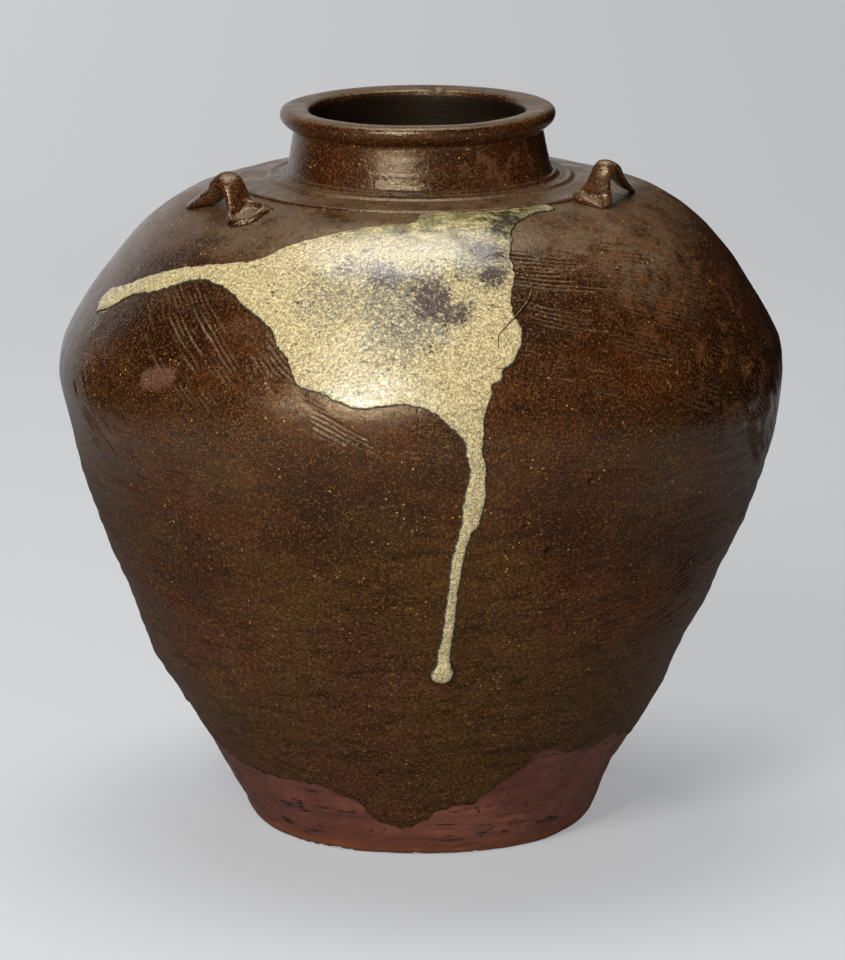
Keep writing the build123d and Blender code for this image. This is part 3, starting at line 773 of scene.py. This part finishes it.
# Collar, skirt and rolled lip in section: radius and height, up the outside and down the bore
NECK_SECTION = [
    (94.6, 331.4), (95.3, 332.6), (94.9, 333.6), (93.4, 334.0), (90, 334.3), (84, 335.1),
    (80.5, 335.6), (79.0, 335.6), (77.9, 336.3), (76.9, 337.0), (75.9, 336.9), (75.0, 336.4),
    (73.0, 336.8), (71.3, 337.0), (70.6, 337.6), (70.0, 338.6), (69.1, 339.0), (68.3, 338.8),
    (67.7, 339.6), (67.1, 341.5), (66.5, 344.5), (65.7, 348.5), (64.8, 353), (64.1, 357),
    (63.8, 359.6), (64.3, 361.0), (66.2, 362.0), (68.2, 363.6), (69.6, 365.6), (70.1, 367.6),
    (69.8, 369.3), (68.6, 370.7), (66.4, 371.4), (63.6, 371.5), (60.5, 371.1), (57.8, 370.7),
    (56.0, 369.9), (55.1, 368.4), (54.8, 366), (54.8, 360), (54.9, 352), (55.2, 344),
    (55.6, 337), (56.5, 332), (58.5, 327.5), (64, 325.5), (75, 326.5), (88, 328.5),
]

# The chip in the lip: angle, radius, width both ways and depth
LIP_CHIP = (169, 57.5, 3.2, 2.0)


def neck():
    """The collar with its skirt and the rolled lip, glazed all over."""
    fine = smooth_curve(np.array(NECK_SECTION + NECK_SECTION[:1]), 0.75)[:-1]
    count, steps = len(fine), 400
    bm, column, row = sheet(steps, count)
    angle = column % steps * 360 / steps
    r, z = fine[row % count].T
    p = turned(r, z, angle)
    lump = lumps(p, NECK_LUMPS)
    rings = 0.09 * noise(np.stack([r * 2.2, z * 2.2, p[:, 0] * 0.05], axis=1), 3.4, 44)
    r = r + np.where(r > 60, 1.0, -0.6) * (lump + rings)
    top = z > 366

    # The lip isn't quite level, and has a chip at the back
    lip_radius = 70
    level = 0.3 * noise(p, 30, 45) + 0.5 * p[:, 0] / lip_radius + 0.4 * p[:, 1] / lip_radius
    z = z + smooth(350, 362, z) * level
    chip_angle, chip_radius, chip_size, chip_depth = LIP_CHIP
    away = (angle - chip_angle + 180) % 360 - 180
    chip = np.exp(-((away / chip_size) ** 2)) * np.exp(-(((r - chip_radius) / chip_size) ** 2))
    z = z - chip_depth * (chip * top)
    closed_up(bm, turned(r, z, angle), row)
    piece = finished("collar_and_rolled_lip", bm, iron_glaze)
    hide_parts("neck_collar", "rolled_lip")


neck()


def inside_polygon(x, y, polygon):
    """Whether points lie inside a closed polygon."""
    inside = np.zeros(len(x), bool)
    for (x0, y0), (x1, y1) in zip(polygon, np.roll(polygon, -1, axis=0)):
        if y0 == y1:
            continue
        crosses = (y0 > y) != (y1 > y)
        inside ^= crosses & (x < (x1 - x0) * (y - y0) / (y1 - y0) + x0)
    return inside


def ash_pour():
    """The pale pour: a thin domed layer that follows the body's relief."""
    outline = np.array(POUR_TOP + POUR_RIGHT + POUR_LEFT, float)
    flat = np.stack([np.radians(outline[:, 0]) * POUR_DRUM, run_at(outline[:, 1])], axis=1)
    edge_line = smooth_curve(np.vstack([flat, flat[:1]]), 0.5)[:-1]
    wave = np.stack([edge_line[:, 0], edge_line[:, 1], np.zeros(len(edge_line))], axis=1)
    fringe = [lumps(wave, [(0.5, 3.0, seed), (0.3, 1.4, seed + 5)]) for seed in (61, 62)]
    edge_line = edge_line + np.stack(fringe, axis=1)

    # A flat grid, cut to the outline and drawn onto its edge
    low, high = edge_line.min(0) - 1, edge_line.max(0) + 1
    cell = 0.95
    across, up = int((high[0] - low[0]) / cell), int((high[1] - low[1]) / cell)
    bm = bmesh.new()
    size = Matrix.Diagonal(((high[0] - low[0]) / 2, (high[1] - low[1]) / 2, 1, 1))
    middle = Matrix.Translation((*((low + high) / 2), 0))
    bmesh.ops.create_grid(bm, x_segments=across, y_segments=up, size=1, matrix=middle @ size)
    bm.faces.ensure_lookup_table()
    centres = np.array([f.calc_center_median()[:2] for f in bm.faces])
    keep = inside_polygon(centres[:, 0], centres[:, 1], edge_line)
    drop = [f for f, kept in zip(bm.faces, keep) if not kept]
    bmesh.ops.delete(bm, geom=drop, context="FACES")
    tree = KDTree(len(edge_line))
    for index, (x, y) in enumerate(edge_line):
        tree.insert((x, y, 0), index)
    tree.balance()
    for v in bm.verts:
        if v.is_boundary:
            v.co = tree.find(v.co)[0]
    loose = [v for v in bm.verts if not v.is_boundary]
    bmesh.ops.smooth_vert(bm, verts=loose, factor=0.5, use_axis_x=True, use_axis_y=True)
    bmesh.ops.recalc_face_normals(bm, faces=bm.faces[:])
    if bm.faces[0].normal.z < 0:
        bmesh.ops.reverse_faces(bm, faces=bm.faces[:])
    bmesh.ops.solidify(bm, geom=bm.faces[:], thickness=1.0)

    # Its height above the jar: thin at the edge, domed inside, thicker at the bead and the drip
    p = points_of(bm)
    angle, run = np.degrees(p[:, 0] / POUR_DRUM), p[:, 1]
    r = on_outline(run)[0]
    nearest = np.array([tree.find((x, y, 0))[0][:2] for x, y, _ in p])
    gap = np.hypot((p[:, 0] - nearest[:, 0]) * r / POUR_DRUM, run - nearest[:, 1])
    lower = p[:, 2] < p[:, 2].mean()
    body = 0.75 + 0.25 * noise(np.stack([p[:, 0], p[:, 1], 0 * r], axis=1), 14, 63)
    dome = body * (1 - np.exp(-gap / 0.9))
    bead_angle, bead_height, bead_radius, bead_rise = POUR_BEAD
    bead = np.hypot(np.radians(angle - bead_angle) * r, run - run_at(bead_height))
    dome = dome + bead_rise * np.sqrt(np.clip(1 - (bead / bead_radius) ** 2, 0, 1))
    drip = smooth(252, 236, np.interp(run, body_run, body_line[:, 1]))
    dome = dome * (1 + 0.5 * drip)
    lift = np.where(lower, -0.9, dome - 0.12)
    for v, place in zip(bm.verts, on_body(angle, np.minimum(run, RUN_END), lift) * METRE):
        v.co = place
    layer = bm.verts.layers.float.new("from_edge")
    for v, distance in zip(bm.verts, gap):
        v[layer] = distance
    piece = finished("ash_glaze_pour", bm, ash_glaze)
    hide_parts("ash_glaze_pour")


ash_pour()

# Straps of the cord lugs, from the thumbed front pad to the far foot: distance along, height of
# the middle, half width, half thickness and distance up the slope
PRESSED_STRAP = [
    (-34.5, -0.6, 0, 0.3, -3), (-34, -0.2, 5.5, 1.0, -3), (-31.5, 0.3, 9.6, 1.5, -3),
    (-27.5, 0.6, 11.6, 1.7, -3), (-23, 0.9, 12.2, 1.8, -2.6), (-19, 1.4, 10.8, 2.1, -1.2),
    (-16.6, 3.6, 8.2, 2.6, 1.6), (-15.2, 6.8, 6.6, 3.0, 3.8), (-13.6, 10.0, 5.7, 3.2, 5.2),
    (-11.2, 12.8, 5.3, 3.2, 6.2), (-7.8, 14.2, 5.1, 3.1, 6.5), (-4.4, 12.6, 5.0, 3.4, 6.3),
    (-1.8, 9.4, 4.9, 4.0, 5.9), (1.5, 6.6, 4.8, 4.2, 5.3), (7, 4.6, 4.9, 3.8, 4.6),
    (13, 3.0, 5.0, 3.0, 4.0), (19, 1.8, 5.3, 2.2, 3.5), (24, 0.9, 5.6, 1.6, 3.2),
    (28, 0.2, 4.8, 1.2, 3.0), (30.5, -0.4, 3.0, 0.9, 3.0), (31.8, -1.2, 0, 0.3, 3.0),
]
POINTED_STRAP = [
    (-31, 0.4, 0, 0.5, -2), (-30.6, 0.6, 4.4, 1.4, -2), (-28.6, 1.0, 7.4, 1.8, -1),
    (-25.4, 1.4, 9.4, 2.0, 0), (-22.2, 2.2, 9.8, 2.3, 1), (-20.4, 4.6, 8.2, 2.6, 0.6),
    (-20, 8.4, 6.0, 2.8, 0), (-20, 12.6, 4.7, 2.8, -0.5), (-19.2, 16.8, 4.2, 2.7, -1),
    (-16.8, 19.0, 4.0, 2.5, -1), (-13, 18.0, 3.9, 2.4, -1), (-8.4, 14.4, 3.7, 2.3, -0.8),
    (-2, 9.9, 3.4, 2.1, -0.6), (5, 6.2, 3.0, 1.9, -0.4), (12, 3.3, 2.4, 1.6, -0.3),
    (18, 1.2, 1.7, 1.2, -0.3), (22.5, -0.4, 1.0, 0.8, -0.3), (24.5, -1.6, 0, 0.3, -0.3),
]
PAD_ROW = 3  # the row of a strap in the middle of its pad


def lug(node, angle, height, turn, side, strap, print_depth, pad_shift, pad_reach):
    """A pulled strap of clay, pressed down at its front pad and drawn out to its far foot."""
    along = smooth_curve(strap, 0.45)
    rows, columns = len(along) - 1, 44
    bm, column, row = sheet(columns, rows)

    # The strap in section: its width and thickness round the line that it follows
    x, h, wide, thick, aside = along[row].T
    slope = np.gradient(along[:, :2], axis=0)
    slope /= np.hypot(*slope.T)[:, None]
    lean, rise = slope[row].T
    turn_round = column % columns * 2 * math.pi / columns
    across, proud = np.cos(turn_round), np.sin(turn_round)
    proud = np.sign(proud) * np.abs(proud) ** 0.8
    ends = np.sqrt(np.clip(wide / 2.0, 0, 1))
    y = wide * across
    x, h = x - rise * thick * proud * ends, h + lean * thick * proud * ends

    # The thumb's print in the pad, and the ridge that it pressed up round itself
    middle = strap[PAD_ROW][0] + pad_shift
    far = np.hypot((x - middle) / pad_reach, y / (0.86 * strap[PAD_ROW][2]))
    press = (1 - smooth(0.55, 0.95, far)) * (proud > 0)
    ridge = np.exp(-(((far - 1.02) / 0.15) ** 2)) * (proud > 0) * (h < 4)
    h = h - print_depth * press + 0.6 * print_depth * ridge

    # Small lumps, then the place on the shoulder
    y = y + aside
    local = np.stack([x, y, h + 40 * side], axis=1)
    h = h + lumps(local, LUG_LUMPS) * np.clip(wide / 3, 0, 1)
    c, s = math.cos(math.radians(turn)), math.sin(math.radians(turn))
    run = np.minimum(run_at(height) - x * s + y * c, RUN_END)
    r = on_outline(run)[0]
    around = angle + side * np.degrees((x * c + y * s) / r)
    closed_up(bm, on_body(around, run, h), row)
    piece = finished(node + "_strap", bm, iron_glaze)
    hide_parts(node)


lug("lug_left", -62, 327.4, 13, -1, PRESSED_STRAP, 1.8, 2.6, 7.4)
lug("lug_right", 69, 331.0, 6, 1, POINTED_STRAP, 1.5, 0.4, 4.8)
lug("lug_back", 184, 329.0, 10, -1, PRESSED_STRAP, 1.6, 2.6, 7.4)


def hair_crack():
    """A fine thread of glaze that stands up along the crack beside the pour."""
    line = smooth_curve([(np.radians(a) * CRACK_DRUM, run_at(h)) for a, h in CRACK], 0.6)
    rows, columns = len(line) - 1, 8
    bm, column, row = sheet(columns, rows)
    slope = np.gradient(line, axis=0)
    slope /= np.hypot(*slope.T)[:, None]
    turn_round = column % columns * 2 * math.pi / columns
    half_thick, middle_lift = 0.42, 0.55
    thick = half_thick * np.sin(np.pi * np.clip(row / rows, 0.002, 0.998)) ** 0.4
    sideways = np.stack([-slope[row, 1], slope[row, 0]], axis=1)
    place = line[row] + sideways * (thick * np.cos(turn_round))[:, None]
    lift = middle_lift + thick * np.sin(turn_round)
    closed_up(bm, on_body(np.degrees(place[:, 0] / CRACK_DRUM), place[:, 1], lift), row)
    bmesh.ops.holes_fill(bm, edges=[e for e in bm.edges if e.is_boundary], sides=columns)
    bmesh.ops.recalc_face_normals(bm, faces=bm.faces[:])
    finished("hair_crack", bm, iron_glaze)


hair_crack()

# The camera, where the photo was taken from: place in metres, and degrees that it looks down
CAMERA_PLACE = (0.0008, -2.7049, 0.8009)
CAMERA_DOWN = 13.007
camera_data = bpy.data.cameras.new("camera")
camera_data.lens = 201.66
camera_data.sensor_width = 36
camera = bpy.data.objects.new("camera", camera_data)
camera.location = CAMERA_PLACE
camera.rotation_euler = (math.radians(90 - CAMERA_DOWN), 0, 0)
bpy.context.scene.collection.objects.link(camera)
bpy.context.scene.camera = camera

# The studio's greys: the paper as it lights the jar and as the camera sees it, and the glowing tone
# of the background from left to right, painted lighter on the left and darker on the right
PAPER_LIT, PAPER_SEEN = (0.44, 0.443, 0.45), (0.84, 0.845, 0.855)
GLOW_PAINTED_LIGHT_LEFT, GLOW_PAINTED_SHADE_RIGHT = (0.600, 0.607, 0.620), (0.497, 0.502, 0.514)
CARD_BLACK = (0.01, 0.01, 0.01)
AIR, AIR_STRENGTH = (0.80, 0.82, 0.85), 0.12


def studio_grey():
    """Pale grey paper, which keeps the jar's shadow near it and further off glows with a tone
    painted lighter on the left and darker on the right.
    """
    f = Finish("studio grey")
    rays = f.tree.nodes.new("ShaderNodeLightPath").outputs
    f.finish(f.blend(rays["Is Camera Ray"], PAPER_LIT, PAPER_SEEN), 0.9, specular=0.1)
    even = f.tree.nodes.new("ShaderNodeEmission")
    # Painted light: the glow is lighter on the left and darker on the right
    f.put(even.inputs[0], f.blend(f.step(f.part(0), -0.6, 0.6), GLOW_PAINTED_LIGHT_LEFT, GLOW_PAINTED_SHADE_RIGHT))
    seen = f.larger(rays["Is Camera Ray"], rays["Is Glossy Ray"])
    seen = f.larger(seen, rays["Is Transmission Ray"])
    all_round = f.larger(f.step(f.reach(), 0.5, 2.0), 0.55)
    behind = f.step(f.part(1), 0.5, 2.0)
    far = f.larger(behind, f.times(rays["Is Camera Ray"], all_round))
    mix = f.tree.nodes.new("ShaderNodeMixShader")
    f.put(mix.inputs[0], f.times(seen, far))
    f.put(mix.inputs[1], f.surface.outputs[0])
    f.put(mix.inputs[2], even.outputs[0])
    f.put(f.output.inputs[0], mix.outputs[0])
    return f.material


def staged(name, bm, material):
    """A piece of the studio from a bmesh, which isn't part of the jar."""
    mesh = bpy.data.meshes.new(name)
    bm.to_mesh(mesh)
    bm.free()
    piece = bpy.data.objects.new(name, mesh)
    bpy.context.scene.collection.objects.link(piece)
    mesh.materials.append(material)
    return piece


def studio_floor():
    """A round pale floor that curves up into a wall well past the lamps."""
    around, out = 96, 40
    flat, bend, wall = 4200, 1200, 1400
    bm, column, row = sheet(around, out)
    along = row / out * (flat + bend * math.pi / 2 + wall)
    turn = np.clip((along - flat) / bend, 0, math.pi / 2)
    r = np.minimum(along, flat) + bend * np.sin(turn)
    z = bend * (1 - np.cos(turn)) + np.maximum(along - flat - bend * math.pi / 2, 0)
    a = 2 * math.pi * (column % around) / around
    closed_up(bm, np.stack([r * np.sin(a), -r * np.cos(a), z], axis=1), row)
    for face in bm.faces:
        face.smooth = True
    staged("studio_floor", bm, studio_grey())


studio_floor()


def lamp(name, place, size, power, reflected=True):
    """A soft area lamp turned to the jar, which the camera doesn't see."""
    data = bpy.data.lights.new(name, "AREA")
    data.shape = "RECTANGLE"
    data.size, data.size_y = size
    data.energy = power
    light = bpy.data.objects.new(name, data)
    light.location = place
    to_jar = Vector((0, 0, 0.2)) - Vector(place)
    light.rotation_euler = to_jar.to_track_quat("-Z", "Y").to_euler()
    light.visible_camera = False
    light.visible_glossy = reflected
    bpy.context.scene.collection.objects.link(light)


lamp("tall_window", (-0.80, -2.08, 1.60), (0.7, 1.8), 13)
lamp("window_strip", (-0.78, -2.04, 1.36), (0.11, 1.45), 36)
lamp("overhead", (-0.15, 0.3, 2.7), (1.6, 1.2), 36)
lamp("low_front", (0.9, -3.0, 0.9), (2.2, 1.4), 11, reflected=False)
lamp("back_fill", (0.5, 3.0, 1.5), (2.4, 1.8), 13, reflected=False)


def dark_card(name, middle, turn, wide):
    """A black card for reflections alone, which keeps the jar's sides dark."""
    bm = bmesh.new()
    upright = Matrix.Rotation(math.radians(turn), 4, "Z") @ Matrix.Rotation(math.pi / 2, 4, "X")
    place = Matrix.Translation(middle) @ upright @ Matrix.Diagonal((wide, 1, 1, 1))
    bmesh.ops.create_grid(bm, x_segments=1, y_segments=1, size=0.75, matrix=place)
    card = staged(name, bm, black_card)
    card.visible_camera = card.visible_diffuse = card.visible_shadow = False


black_card = Finish("black card").finish(CARD_BLACK, 0.9, specular=0.0)
dark_card("side_card", (0.62, 0.25, 0.76), 90, 0.8)
dark_card("rear_card", (0.745, 1.0, 0.76), 0, 0.70)
dark_card("left_card", (-0.70, 0.20, 0.76), 90, 0.45)

world = bpy.data.worlds.new("studio air")
world.use_nodes = True
background = world.node_tree.nodes["Background"].inputs
background["Color"].default_value = (*AIR, 1)
background["Strength"].default_value = AIR_STRENGTH
bpy.context.scene.world = world
bpy.context.scene.view_settings.view_transform = "Standard"
